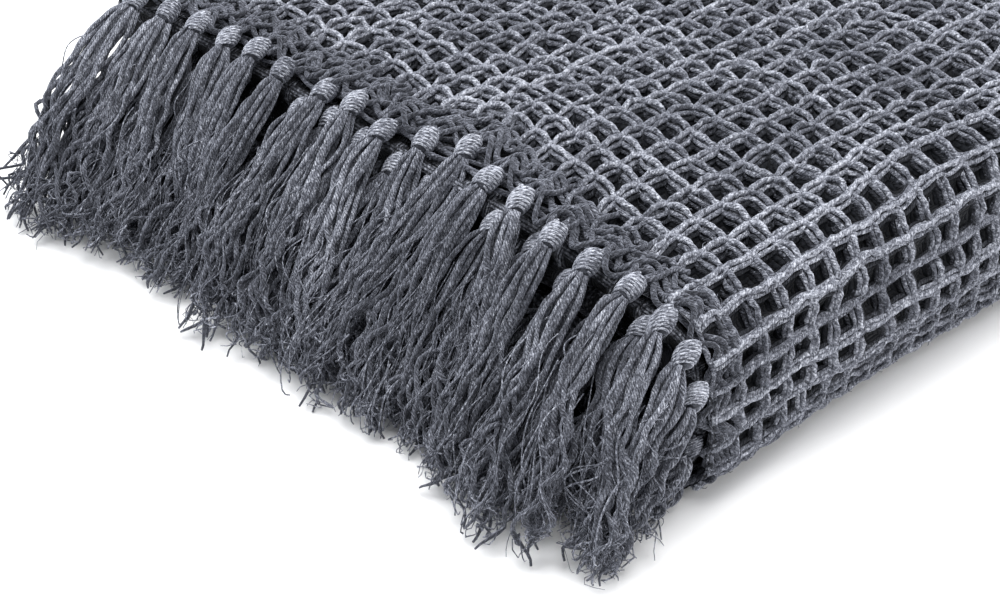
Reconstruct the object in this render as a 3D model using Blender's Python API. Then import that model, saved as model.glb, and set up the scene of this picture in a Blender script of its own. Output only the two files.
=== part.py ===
"""Folded waffle-weave throw blanket with knotted tassels, in metres, resting on z = 0.

The cloth is one continuous sheet, folded in half twice along its length and then rolled into
four along its width. Two mappings describe that: a lengthwise profile in (x, t), where t is the
height inside a four-layer packet, and a crosswise path that carries the packet over and back.
The fringed ends face -X, the lengthwise folds face +X and the outer wrap faces -Y.
"""

import math

import bmesh
import bpy
from mathutils import Vector

MM = 0.001

# Driving dimensions
THROW_LENGTH = 1700 * MM      # cloth without its fringe
THROW_WIDTH = 1300 * MM
CLOTH_THICKNESS = 4.8 * MM    # crest to crest of the waffle
LAYER_GAP = 0.4 * MM          # air between two resting layers
WRAP_FLATTENING = 0.60        # depth of a crosswise fold over its half height
WRAP_SQUARENESS = 0.80        # 1 is an ellipse, less is boxier
EDGE_BAND = 14 * MM           # loosely netted yarns between the weave and the knots
EDGE_BAND_THICKNESS = 3.0 * MM
KNOT_RADIUS = 4.8 * MM
KNOT_SPACING = 18 * MM
TASSEL_FULLNESS = 0.84        # width of a spread tassel over the knot spacing
TASSEL_HALF_THICKNESS = 3.5 * MM
UPPER_REACH = 84 * MM         # how far the topmost tassels spread over the floor

CLEARANCE = 0.3 * MM
TASSEL_SIDES = 8
ARC_STEPS = 10

# Derived dimensions
HALF = CLOTH_THICKNESS / 2
PITCH = CLOTH_THICKNESS + LAYER_GAP
PACKET = 4 * PITCH
OUTER_T, INNER_T = 1.5 * PITCH, 0.5 * PITCH
RUN_LENGTH = (THROW_LENGTH - math.pi * (OUTER_T + 2 * INNER_T)) / 4
STACK_HEIGHT = 4 * PACKET - LAYER_GAP
BOTTOM_Z = OUTER_T + HALF
WRAP_Z = BOTTOM_Z + 1.5 * PACKET


def bent(angle):
    """Unit point of a boxy half turn: (depth, height) at an angle above the middle."""
    c, s = math.cos(angle), math.sin(angle)
    depth = WRAP_FLATTENING * max(c, 0.0) ** WRAP_SQUARENESS
    return depth, math.copysign(abs(s) ** WRAP_SQUARENESS, s)


def turn_length(radius, steps=64):
    """Arc length of a boxy half turn."""
    points = [Vector(bent(math.pi * (i / steps - 0.5))) for i in range(steps + 1)]
    return radius * sum((b - a).length for a, b in zip(points, points[1:]))


OVERHANG = WRAP_FLATTENING * (PACKET - LAYER_GAP / 2)  # selvedges end flush with the fold below
TURNS = turn_length(1.5 * PACKET) + 2 * turn_length(0.5 * PACKET)
RUN_WIDTH = (THROW_WIDTH - TURNS - 2 * OVERHANG) / 4
UPPER_TASSELS = round(RUN_WIDTH / KNOT_SPACING)
BUNCHES = (UPPER_TASSELS + 1) // 2
CORNER_SLOTS = round(turn_length(1.5 * PACKET + OUTER_T) / KNOT_SPACING)
TASSEL_PITCH = RUN_WIDTH / UPPER_TASSELS
TASSEL_HALF_WIDTH = TASSEL_FULLNESS * TASSEL_PITCH / 2
KNOT_X = -KNOT_RADIUS - CLEARANCE


def half_turn(y, z, radius, per_t, side, start, steps):
    """Stations of one crosswise fold: functions from t to (y, z), from top down or bottom up."""
    stations = []
    for i in range(steps + 1):
        depth, height = bent(start * math.pi * (0.5 - i / steps))

        def place(t, depth=depth, height=height):
            r = radius + per_t * t
            return y + side * depth * r, z + height * r

        stations.append(place)
    return stations


def crosswise_path():
    """Stations from the upper selvedge, round the outer wrap, under, back and in again."""
    top = BOTTOM_Z + 3 * PACKET
    inner = BOTTOM_Z + 2 * PACKET
    return (
        [lambda t: (RUN_WIDTH + OVERHANG, top + t)]
        + half_turn(0.0, WRAP_Z, 1.5 * PACKET, 1, -1, 1, ARC_STEPS + 2)
        + half_turn(RUN_WIDTH, BOTTOM_Z + 0.5 * PACKET, 0.5 * PACKET, 1, 1, -1, ARC_STEPS - 2)
        + half_turn(0.0, WRAP_Z, 0.5 * PACKET, -1, -1, -1, ARC_STEPS - 2)
        + [lambda t: (RUN_WIDTH + OVERHANG, inner - t)]
    )


def arc(x, t, radius, first, last, steps):
    """Points of a lengthwise fold in (x, t), angles in half turns from +x."""
    angles = [math.pi * (first + (last - first) * i / steps) for i in range(steps + 1)]
    return [(x + radius * math.cos(a), t + radius * math.sin(a)) for a in angles]


def cloth_profile():
    """Closed outline of the four-layer packet in (x, t), both edges at the fringed side."""
    near, far = OUTER_T - HALF, OUTER_T + HALF
    fold = INNER_T + HALF
    back = EDGE_BAND + RUN_LENGTH
    left = fold
    outline = [(EDGE_BAND, far)]
    outline += arc(back, 0.0, far, 0.5, -0.5, ARC_STEPS)
    outline += arc(left, -PITCH, fold, 1.5, 0.5, ARC_STEPS - 2)
    outline += arc(back, 0.0, INNER_T - HALF, -0.5, 0.5, 4)
    outline += [(EDGE_BAND, INNER_T - HALF), (EDGE_BAND, fold)]
    outline += arc(back, 0.0, fold, 0.5, -0.5, ARC_STEPS - 2)
    outline += arc(left, -PITCH, INNER_T - HALF, 0.5, 1.5, 4)
    outline += arc(back, 0.0, near, -0.5, 0.5, ARC_STEPS)
    outline += [(EDGE_BAND, near)]
    return outline


def band_profile(t):
    """Closed outline of an edge band in (x, t), just short of the weave it hangs from."""
    half = EDGE_BAND_THICKNESS / 2
    end = EDGE_BAND - CLEARANCE
    return [(0.0, t + half * 0.6), (half, t + half), (end, t + half), (end, t - half),
            (half, t - half), (0.0, t - half * 0.6)]


def cloth_material(name, colour, roughness):
    material = bpy.data.materials.new(name)
    material.use_nodes = True
    shader = material.node_tree.nodes["Principled BSDF"]
    shader.inputs["Base Color"].default_value = (*colour, 1.0)
    shader.inputs["Roughness"].default_value = roughness
    return material


def body(name, rings, material):
    """One closed body skinned through rings of matching points, flat at both ends."""
    mesh = bmesh.new()
    loops = [[mesh.verts.new(point) for point in ring] for ring in rings]
    count = len(rings[0])
    for lower, upper in zip(loops, loops[1:]):
        for i in range(count):
            j = (i + 1) % count
            mesh.faces.new((lower[i], lower[j], upper[j], upper[i]))
    ends = [mesh.faces.new(loops[0][::-1]), mesh.faces.new(loops[-1])]
    bmesh.ops.triangulate(mesh, faces=ends)
    bmesh.ops.recalc_face_normals(mesh, faces=mesh.faces)
    data = bpy.data.meshes.new(name)
    mesh.to_mesh(data)
    mesh.free()
    data.materials.append(material)
    obj = bpy.data.objects.new(name, data)
    bpy.context.scene.collection.objects.link(obj)
    return obj


def swept(name, profile, material):
    """A lengthwise profile carried along the crosswise path."""
    rings = []
    for place in crosswise_path():
        rings.append([(x, *place(t)) for x, t in profile])
    return body(name, rings, material)


def ring_at(centre, slope, half_width, half_thickness):
    """An elliptical ring, wide along Y, square to a strand direction lying in the XZ plane."""
    across = Vector((-math.sin(slope), 0.0, math.cos(slope)))
    ring = []
    for i in range(TASSEL_SIDES):
        a = 2 * math.pi * i / TASSEL_SIDES
        ring.append(centre + across * (half_thickness * math.cos(a))
                    + Vector((0.0, half_width * math.sin(a), 0.0)))
    return ring


def tassel(name, knot, tip, bow, half_width, half_thickness, material, knotted=True):
    """A knotted bundle: ball, neck, then strands spreading out and down to the tip."""
    knot, tip = Vector(knot), Vector(tip)
    length = (tip - knot).length
    slope = math.atan2(tip.z - knot.z, tip.x - knot.x)
    out = Vector((math.sin(slope), 0.0, -math.cos(slope)))
    if out.z < 0:
        out = -out
    ball = min(KNOT_RADIUS, half_width)
    spread = half_width if half_width > ball else ball
    shape = [
        (-0.90 * ball, 0.45 * ball, 0.45 * ball),
        (-0.45 * ball, 0.88 * ball, 0.88 * ball),
        (0.20 * ball, ball, ball),
        (0.85 * ball, 0.75 * ball, 0.62 * ball),
        (0.22 * length, ball + 0.10 * (spread - ball), half_thickness * 0.90),
        (0.45 * length, ball + 0.75 * (spread - ball), half_thickness),
        (0.75 * length, spread, half_thickness),
        (0.96 * length, spread * 0.96, half_thickness * 0.80),
        (length, spread * 0.80, half_thickness * 0.35),
    ]
    if not knotted:
        shape = [(0.0, half_width, half_thickness * 0.7)] + [
            (at, half_width, thick) for at, _, thick in shape[4:]]
    along = (tip - knot) / length
    rings = []
    for at, wide, thick in shape:
        rise = bow * math.sin(math.pi * min(max(at / length, 0.0), 1.0))
        rings.append(ring_at(knot + along * at + out * rise, slope, wide, thick))
    return body(name, rings, material)


def straight_tassels(material):
    """Tassels of the two top edges, the lower ones half a pitch across and tucked behind."""
    upper_z = STACK_HEIGHT - KNOT_RADIUS + 0.2 * MM
    lower_z = upper_z - 1.95 * KNOT_RADIUS
    tip_z = TASSEL_HALF_THICKNESS + 1.5 * MM
    rows = (("tassel_upper", upper_z, 1.00, 4.0 * MM, 0.60),
            ("tassel_lower", lower_z, 0.83, 0.0, 0.10))
    for name, z, reach, bow, shift in rows:
        for i in range(UPPER_TASSELS):
            y = TASSEL_PITCH * (i + shift)
            tassel(f"{name}_{i + 1:02d}", (KNOT_X, y, z), (-UPPER_REACH * reach, y, tip_z),
                   bow, TASSEL_HALF_WIDTH, TASSEL_HALF_THICKNESS, material)


def corner_tassels(material):
    """Tassels down the fringed end of the outer wrap, each lying over the next one below."""
    radius = 1.5 * PACKET + OUTER_T
    tip_z = TASSEL_HALF_THICKNESS + CLEARANCE
    for i in range(CORNER_SLOTS - 1):
        depth, height = bent(math.pi * (0.5 - (i + 0.5) / CORNER_SLOTS))
        y, z = -depth * radius, WRAP_Z + height * radius
        reach = UPPER_REACH * (0.06 + 0.88 * z / STACK_HEIGHT)
        tassel(f"tassel_corner_{i + 1}", (KNOT_X, y, z), (-reach, y, tip_z),
               4.0 * MM, KNOT_RADIUS * 1.04, TASSEL_HALF_THICKNESS * 0.9, material)


def covered_tassels(material):
    """Grouped tassels of the layers below, hidden behind the upper rows."""
    width = RUN_WIDTH / BUNCHES
    x = -0.7 * TASSEL_HALF_THICKNESS - CLEARANCE
    middle_z = BOTTOM_Z + 1.5 * PACKET
    rows = (("tassels_middle", middle_z, 0.62, 1.1 * MM),
            ("tassels_bottom", TASSEL_HALF_THICKNESS + 0.9 * MM, 0.48, 0.6 * MM))
    for name, z, reach, lift in rows:
        for i in range(BUNCHES):
            y = width * (i + 0.5)
            tip = (-UPPER_REACH * reach, y, TASSEL_HALF_THICKNESS + lift)
            tassel(f"{name}_{i + 1}", (x, y, z), tip, 0.0,
                   width / 2 - CLEARANCE, TASSEL_HALF_THICKNESS, material, knotted=False)


def centre_over_origin():
    """Shifts every body so that the whole rests on z = 0 with its box centred on x = y = 0."""
    meshes = [obj.data for obj in bpy.context.scene.objects]
    points = [vert.co for mesh in meshes for vert in mesh.vertices]
    low = Vector([min(p[axis] for p in points) for axis in range(3)])
    high = Vector([max(p[axis] for p in points) for axis in range(3)])
    shift = -Vector(((low.x + high.x) / 2, (low.y + high.y) / 2, low.z))
    for mesh in meshes:
        for vert in mesh.vertices:
            vert.co += shift


def main():
    for obj in list(bpy.data.objects):
        bpy.data.objects.remove(obj, do_unlink=True)
    weave = cloth_material("waffle_cotton", (0.115, 0.118, 0.133), 0.92)
    yarn = cloth_material("twisted_cotton", (0.145, 0.149, 0.165), 0.90)
    swept("waffle_cloth", cloth_profile(), weave)
    swept("edge_yarns_outer", band_profile(OUTER_T), yarn)
    swept("edge_yarns_inner", band_profile(INNER_T), yarn)
    straight_tassels(yarn)
    corner_tassels(yarn)
    covered_tassels(yarn)
    centre_over_origin()


main()
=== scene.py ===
import math
from collections import namedtuple

import bmesh
import bpy
import numpy as np
from mathutils import Matrix, Vector


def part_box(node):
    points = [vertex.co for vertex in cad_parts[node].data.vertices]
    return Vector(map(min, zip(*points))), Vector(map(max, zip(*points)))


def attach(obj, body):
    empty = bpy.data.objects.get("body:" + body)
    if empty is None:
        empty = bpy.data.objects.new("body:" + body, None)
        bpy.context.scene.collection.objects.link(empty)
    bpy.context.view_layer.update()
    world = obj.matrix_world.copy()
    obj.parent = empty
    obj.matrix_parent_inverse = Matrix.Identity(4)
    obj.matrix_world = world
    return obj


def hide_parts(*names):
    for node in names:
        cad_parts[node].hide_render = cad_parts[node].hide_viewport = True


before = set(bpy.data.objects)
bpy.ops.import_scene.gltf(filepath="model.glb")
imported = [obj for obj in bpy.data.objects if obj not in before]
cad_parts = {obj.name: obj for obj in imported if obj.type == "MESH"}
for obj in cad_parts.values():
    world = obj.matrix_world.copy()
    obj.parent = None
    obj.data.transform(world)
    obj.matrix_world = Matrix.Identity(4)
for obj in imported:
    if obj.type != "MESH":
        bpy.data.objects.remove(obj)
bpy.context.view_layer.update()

# Folded throw, sizes in mm. x runs along the throw from its fringed edge, y across the stack
# from the big fold, z up from the floor.
MM = 0.001
THROW_LONG, THROW_WIDE = 1700.0, 1300.0
CELL = 12.0  # one waffle cell
THICK, GAP = 4.8, 0.4  # a pressed layer, and the gap between two layers
HALF = THICK / 2
PITCH = THICK + GAP
PACKET = 4 * PITCH  # the throw is folded to four layers along its length, and they make a packet
OUTER_T, INNER_T = 1.5 * PITCH, 0.5 * PITCH  # middles of the outer and inner layers of a packet
FLATTEN, SQUARE = 0.60, 0.80  # a crosswise turn's depth over its height, and how square it is
BAND = 14.0  # open band between the weave and the knots
STACK = 4 * PACKET - GAP
BOTTOM_Z = OUTER_T + HALF
WRAP_Z = BOTTOM_Z + 1.5 * PACKET
RUN_LENGTH = (THROW_LONG - math.pi * (OUTER_T + 2 * INNER_T)) / 4
OVERHANG = FLATTEN * (PACKET - GAP / 2)

# ---- where the folded cloth lies
ANGLES = np.pi * (0.5 - np.linspace(0, 1, 257))
DEPTHS = FLATTEN * np.maximum(np.cos(ANGLES), 0.0) ** SQUARE
HEIGHTS = np.sign(np.sin(ANGLES)) * np.abs(np.sin(ANGLES)) ** SQUARE
ARC = np.concatenate([[0], np.cumsum(np.hypot(np.diff(DEPTHS), np.diff(HEIGHTS)))])
TURN = ARC[-1]
RUN_WIDTH = (THROW_WIDE - TURN * 2.5 * PACKET - 2 * OVERHANG) / 4

cloth_low, cloth_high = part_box("waffle_cloth")
SHIFT = np.array([cloth_low[0] / MM,
                  cloth_low[1] / MM + FLATTEN * (1.5 * PACKET + OUTER_T + HALF), 0.0])

# distances across the outermost layer, from its selvedge round every crosswise fold
R_WRAP, R_UNDER, R_INNER = 1.5 * PACKET + OUTER_T, 0.5 * PACKET + OUTER_T, 0.5 * PACKET - OUTER_T
S_TOP = RUN_WIDTH + OVERHANG
S_WRAP = S_TOP + TURN * R_WRAP
S_BOTTOM = S_WRAP + RUN_WIDTH
S_UNDER = S_BOTTOM + TURN * R_UNDER
S_THIRD = S_UNDER + RUN_WIDTH
S_INNER = S_THIRD + TURN * R_INNER
S_END = S_INNER + S_TOP


def crosswise(s, t):
    """(y, z) at distance s across the outermost layer and height t inside the packet."""
    s, t = np.broadcast_arrays(np.asarray(s, float), np.asarray(t, float))
    y, z = np.empty(s.shape), np.empty(s.shape)

    def flat(first, last, y_first, way, level, up):
        m = (s > first) & (s <= last)
        y[m], z[m] = y_first + way * (s[m] - first), level + up * t[m]

    def turn(first, last, middle, per_t, outer, yc, zc, side, flip):
        m = (s > first) & (s <= last)
        share = np.clip((s[m] - first) / outer, 0, TURN)
        radius = middle + per_t * t[m]
        y[m] = yc + side * np.interp(share, ARC, DEPTHS) * radius
        z[m] = zc + flip * np.interp(share, ARC, HEIGHTS) * radius

    top = s <= S_TOP
    y[top], z[top] = S_TOP - s[top], BOTTOM_Z + 3 * PACKET + t[top]
    turn(S_TOP, S_WRAP, 1.5 * PACKET, 1, R_WRAP, 0.0, WRAP_Z, -1, 1)
    flat(S_WRAP, S_BOTTOM, 0.0, 1, BOTTOM_Z, -1)
    turn(S_BOTTOM, S_UNDER, 0.5 * PACKET, 1, R_UNDER, RUN_WIDTH, BOTTOM_Z + 0.5 * PACKET, 1, -1)
    flat(S_UNDER, S_THIRD, RUN_WIDTH, -1, BOTTOM_Z + PACKET, 1)
    turn(S_THIRD, S_INNER, 0.5 * PACKET, -1, R_INNER, 0.0, WRAP_Z, -1, -1)
    flat(S_INNER, np.inf, 0.0, 1, BOTTOM_Z + 2 * PACKET, -1)
    return y, z


def soft_noise(x, y, seed, scale):
    """Smooth random field over (x, y) in mm, about -1 to 1, from a few turned waves."""
    rng = np.random.default_rng(seed)
    total = np.zeros(np.broadcast(x, y).shape)
    for _ in range(7):
        angle, phase = rng.uniform(0, 2 * np.pi, 2)
        k = 2 * np.pi / (scale * rng.uniform(0.6, 1.6))
        total += np.sin(k * (x * np.cos(angle) + y * np.sin(angle)) + phase)
    return total / 3.2


def edge_shift(y):
    """How far the loose fringed edge wanders along x at a place across the throw."""
    y = np.asarray(y, float)
    pulled_in = 5.0 / (1 + np.exp(-(y - 60) / 12)) + 9.0 * np.exp(-((y - 100) / 20) ** 2)
    let_out = 10.0 / (1 + np.exp(-(y - 264) / 9))
    return pulled_in - let_out + 1.3 * np.sin(y / 8.0)


def settle(points):
    """Lets the soft stack swell and sag: small smooth moves that grow towards its top."""
    x, y, z = points[..., 0], points[..., 1], points[..., 2]
    level = np.clip(z / STACK, 0, 1.1)
    corner = np.exp(-(np.maximum(x, 0) / 80) ** 2) * np.exp(-((y + 12) / 48) ** 2)
    lift = level * (1.2 * soft_noise(x, y, 5, 150.0) - 9.5 * corner)
    bulge = 1.6 * soft_noise(x, z * 3, 6, 120.0) * np.exp(-np.maximum(y + 5, 0) / 12)
    return np.stack([x, y - bulge, z + lift], -1)


PLEATS = (0.36, 0.66)  # creases along the big fold, as shares of its run from the top
PLEAT_DEEP, PLEAT_WIDE = 3.0, 4.5
FLOOR_GAP, FLOOR_EASE = 1.15, 0.3  # how near the middle of the cloth comes to the floor


def cloth_point(u, s, h):
    """Point of the outermost layer, u along from its fringed edge, s across, h above its middle."""
    u, s, h = np.broadcast_arrays(*(np.asarray(a, float) for a in (u, s, h)))
    for share in PLEATS:
        line = S_TOP + share * (S_WRAP - S_TOP) + 4.0 * soft_noise(u, 0 * s, 15, 120.0)
        h = h - PLEAT_DEEP * np.exp(-(((s - line) / PLEAT_WIDE) ** 2))
    angle = np.clip((u - RUN_LENGTH) / OUTER_T, 0, np.pi)
    past = np.maximum(u - RUN_LENGTH - np.pi * OUTER_T, 0)
    radius = OUTER_T + h
    x = BAND + np.minimum(u, RUN_LENGTH) + radius * np.sin(angle) - past
    y, z = crosswise(s, radius * np.cos(angle))
    top = np.clip((S_WRAP - s) / 40, 0, 1)
    x = x + top * edge_shift(np.where(s < S_TOP, y, 0.0)) * np.exp(-np.maximum(u, 0) / 35.0)
    points = settle(np.stack([x, y, z], -1))
    above = (points[..., 2] - FLOOR_GAP) / FLOOR_EASE
    points[..., 2] = FLOOR_GAP + FLOOR_EASE * np.logaddexp(0, above)
    return points


def weave_cells(u, s):
    """Cell coordinates with the loose drift of a hand-loomed cloth."""
    def drift(seed):
        return 0.13 * soft_noise(u, s, seed, 62.0) + 0.06 * soft_noise(u, s, seed + 1, 19.0)

    return u / CELL + drift(11), s / CELL + drift(13)


def uneven(i, j, seed):
    """One repeatable random number from 0 to 1 for each whole cell."""
    v = np.sin(i * 127.1 + j * 311.7 + seed * 74.7) * 43758.5453
    return v - np.floor(v)


PIT_DEEP = 5.3
PIT_LEAN = 0.22  # how lopsided a cell may be
PIT_SLOPE = 0.40  # share of the cell from its ridge to where the pit is flat
SHALLOW_FROM, SHALLOW_BY = 0.88, 2.4  # a few cells are pushed up, by this much at most


def pit_height(a, b):
    """Height of the cloth between the ridges: every cell is a sunk pyramid, a little lopsided."""
    whole_a, whole_b = np.floor(a), np.floor(b)
    fa, fb = a - whole_a, b - whole_b
    lean_a, lean_b = uneven(whole_a, whole_b, 4) - 0.5, uneven(whole_a, whole_b, 5) - 0.5
    fa = fa + PIT_LEAN * lean_a * np.sin(np.pi * fa)
    fb = fb + PIT_LEAN * lean_b * np.sin(np.pi * fb)
    to_a, to_b = np.minimum(fa, 1 - fa), np.minimum(fb, 1 - fb)
    along = np.where(to_a < to_b, fb, fa)
    crest = -0.1 + 1.3 * np.sin(np.pi * along)
    pushed = np.clip((uneven(whole_a, whole_b, 3) - SHALLOW_FROM) / (1 - SHALLOW_FROM), 0, 1)
    deep = PIT_DEEP + 0.5 * lean_a - SHALLOW_BY * pushed
    sink = np.clip(np.minimum(to_a, to_b) / PIT_SLOPE, 0, 1)
    return crest * (1 - sink) - deep * (0.25 * sink + 0.75 * sink * sink * (3 - 2 * sink))


def edge_drop(u, s):
    """How far the weave dips where it ends at the knots of the upper edge."""
    flat_top = np.clip((S_TOP + CELL - s) / (2 * CELL), 0, 1)
    return flat_top * 3.2 * np.exp(-np.maximum(u, 0) / 8.0)


# ---- mesh helpers
def new_mesh():
    bm = bmesh.new()
    bm.loops.layers.uv.new("UVMap")
    return bm


def place(name, data):
    obj = bpy.data.objects.new(name, data)
    bpy.context.scene.collection.objects.link(obj)
    return obj


def take_in(bm, mesh, slot=0):
    """Adds a finished mesh to bm, smooth and in one material slot."""
    mesh.polygons.foreach_set("material_index", np.full(len(mesh.polygons), slot, np.int32))
    mesh.polygons.foreach_set("use_smooth", np.ones(len(mesh.polygons), bool))
    bm.from_mesh(mesh)
    bpy.data.meshes.remove(mesh)


def add_tubes(bm, paths, radii, slot=0, sides=6, first_id=0):
    """Adds round yarns to bm. paths is (yarns, points, 3) in mm of the fold layout."""
    paths = np.asarray(paths, float)
    count, n = paths.shape[:2]
    radii = np.broadcast_to(np.asarray(radii, float), (count, n))
    curve = bpy.data.curves.new("yarn", "CURVE")
    curve.dimensions = "3D"
    curve.bevel_depth = 1.0
    curve.bevel_resolution = (sides - 4) // 2
    curve.use_fill_caps = True
    curve.resolution_u = 1
    co = np.ones((count, n, 4), np.float32)
    co[..., :3] = (paths + SHIFT) * MM
    for j in range(count):
        spline = curve.splines.new("POLY")
        spline.points.add(n - 1)
        spline.points.foreach_set("co", co[j].ravel())
        spline.points.foreach_set("radius", (radii[j] * MM).astype(np.float32))
    obj = place("yarn", curve)
    graph = bpy.context.evaluated_depsgraph_get()
    mesh = bpy.data.meshes.new_from_object(obj.evaluated_get(graph))
    # UV x is the distance along the yarn in mm, UV y the turn round it plus the yarn's number.
    # The corners of the end caps come first, then those of the tubes.
    lengths = np.linalg.norm(np.diff(paths, axis=1), axis=-1).sum(1)
    layer = mesh.uv_layers[0]
    uv = np.empty(len(layer.uv) * 2, np.float32)
    layer.uv.foreach_get("vector", uv)
    uv = uv.reshape(-1, 2)
    caps = count * 2 * (sides - 2) * 3
    tube = uv[caps:].reshape(count, -1, 2)
    tube[..., 0] *= lengths[:, None]
    tube[..., 1] += (first_id + np.arange(count))[:, None]
    layer.uv.foreach_set("vector", uv.ravel())
    take_in(bm, mesh, slot)
    bpy.data.objects.remove(obj)
    bpy.data.curves.remove(curve)


def add_grid(bm, across, along, point):
    """Adds a smooth grid to bm.

    point(p, q) gives its places in mm and its UV, for p and q from 0 to 1.
    """
    grid = new_mesh()
    bmesh.ops.create_grid(grid, x_segments=across, y_segments=along, size=0.5)
    mesh = bpy.data.meshes.new("grid")
    grid.to_mesh(mesh)
    grid.free()
    co = np.empty(len(mesh.vertices) * 3, np.float32)
    mesh.vertices.foreach_get("co", co)
    p, q, _ = co.reshape(-1, 3).T + 0.5
    places, cells = point(p.astype(float), q.astype(float))
    mesh.vertices.foreach_set("co", ((places + SHIFT) * MM).astype(np.float32).ravel())
    corner = np.empty(len(mesh.loops), np.int32)
    mesh.loops.foreach_get("vertex_index", corner)
    uv = cells[corner].astype(np.float32)
    mesh.uv_layers[0].uv.foreach_set("vector", uv.ravel())
    take_in(bm, mesh)


def piece(name, bm, materials, weld=True):
    """Turns bm into a finished piece on the throw's one body."""
    if weld:
        bmesh.ops.remove_doubles(bm, verts=bm.verts, dist=1e-6)
    mesh = bpy.data.meshes.new(name)
    bm.to_mesh(mesh)
    bm.free()
    for material in materials:
        mesh.materials.append(material)
    obj = place(name, mesh)
    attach(obj, "root")
    return obj


# ---- materials
class Nodes:
    """Short hand for laying nodes into one tree."""

    def __init__(self, tree):
        self.tree = tree

    def add(self, kind, **settings):
        node = self.tree.nodes.new(kind)
        for key, value in settings.items():
            setattr(node, key, value)
        return node

    def math(self, operation, first, second=None, third=None):
        node = self.add("ShaderNodeMath", operation=operation)
        for index, value in enumerate((first, second, third)):
            self.put(node.inputs[index], value)
        return node.outputs[0]

    def uv(self):
        """The piece's own UV, whole and split."""
        whole = self.add("ShaderNodeUVMap", uv_map="UVMap").outputs[0]
        split = self.add("ShaderNodeSeparateXYZ")
        self.put(split.inputs[0], whole)
        return whole, split.outputs[0], split.outputs[1]

    def total(self, first, *others):
        for other in others:
            first = self.math("ADD", first, other)
        return first

    def put(self, target, value):
        if value is None:
            return
        if isinstance(value, bpy.types.NodeSocket):
            self.tree.links.new(value, target)
        else:
            target.default_value = value

    def ramp(self, fac, stops):
        node = self.add("ShaderNodeValToRGB")
        while len(node.color_ramp.elements) < len(stops):
            node.color_ramp.elements.new(0.5)
        for element, (at, colour) in zip(node.color_ramp.elements, stops):
            element.position = at
            element.color = (*colour, 1.0)
        self.put(node.inputs[0], fac)
        return node.outputs[0]

    def noise(self, vector, scale, detail=3.0, roughness=0.6):
        node = self.add("ShaderNodeTexNoise")
        self.put(node.inputs["Vector"], vector)
        self.put(node.inputs["Scale"], scale)
        node.inputs["Detail"].default_value = detail
        node.inputs["Roughness"].default_value = roughness
        return node.outputs["Fac"]

    def span(self, value, low, high, to_low=0.0, to_high=1.0):
        node = self.add("ShaderNodeMapRange")
        for index, v in enumerate((value, low, high, to_low, to_high)):
            self.put(node.inputs[index], v)
        return node.outputs[0]


def start_group(name, inputs, outputs):
    """A node group of number sockets: its tree, its Nodes, and its inner ends."""
    tree = bpy.data.node_groups.new(name, "ShaderNodeTree")
    for way, keys in (("INPUT", inputs), ("OUTPUT", outputs)):
        for key in keys:
            tree.interface.new_socket(key, in_out=way, socket_type="NodeSocketFloat")
    n = Nodes(tree)
    inside = n.add("NodeGroupInput").outputs if inputs else None
    return tree, n, inside, n.add("NodeGroupOutput").inputs


def group_melange():
    """Cotton melange: washed-out and dark fibres mixed in the spun yarn."""
    tree, n, inside, out = start_group("cotton_melange", ["Fleck mm"], ["Tone", "Fuzz"])
    place = n.add("ShaderNodeTexCoord").outputs["Object"]
    per_metre = n.math("DIVIDE", 1 / MM, inside["Fleck mm"])
    fine = n.noise(place, per_metre, 2.0, 0.7)
    tone = n.total(n.span(fine, 0.32, 0.68, -0.24, 0.24),
                   n.span(n.noise(place, 560.0, 2.0), 0.32, 0.68, -0.22, 0.22),
                   n.span(n.noise(place, 26.0, 2.0), 0.3, 0.7, -0.10, 0.10), 0.5)
    n.put(out["Tone"], tone)
    n.put(out["Fuzz"], fine)
    return tree


def group_twist():
    """Two plies twisted round each other, from a yarn's own UV."""
    tree, n, inside, out = start_group(
        "two_ply_twist", ["Lay mm", "Plies", "Uneven"], ["Ply", "Fibre", "Yarn"])
    uv, along, turn = n.uv()
    number = n.math("FLOOR", turn)
    wobble = n.noise(uv, 0.42, 2.0)
    phase = n.total(turn, n.math("DIVIDE", along, inside["Lay mm"]),
                    n.math("MULTIPLY", wobble, inside["Uneven"]))
    plies = n.math("MULTIPLY", math.pi, inside["Plies"])
    wave = n.math("SINE", n.math("MULTIPLY", phase, plies))
    ply = n.math("POWER", n.math("ABSOLUTE", wave), 0.6)
    strand = n.add("ShaderNodeCombineXYZ")
    n.put(strand.inputs[0], n.math("MULTIPLY", along, 0.55))
    n.put(strand.inputs[1], n.math("MULTIPLY", n.math("FRACT", phase), 7.0))
    n.put(strand.inputs[2], n.math("MULTIPLY", number, 3.7))
    fibre = n.noise(strand.outputs[0], 1.6, 3.0, 0.65)
    white = n.add("ShaderNodeTexWhiteNoise", noise_dimensions="1D")
    n.put(white.inputs["W"], n.math("ADD", number, 0.37))
    n.put(out["Ply"], ply)
    n.put(out["Fibre"], fibre)
    n.put(out["Yarn"], white.outputs["Value"])
    return tree


RIBS_PER_CELL = 9


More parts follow.
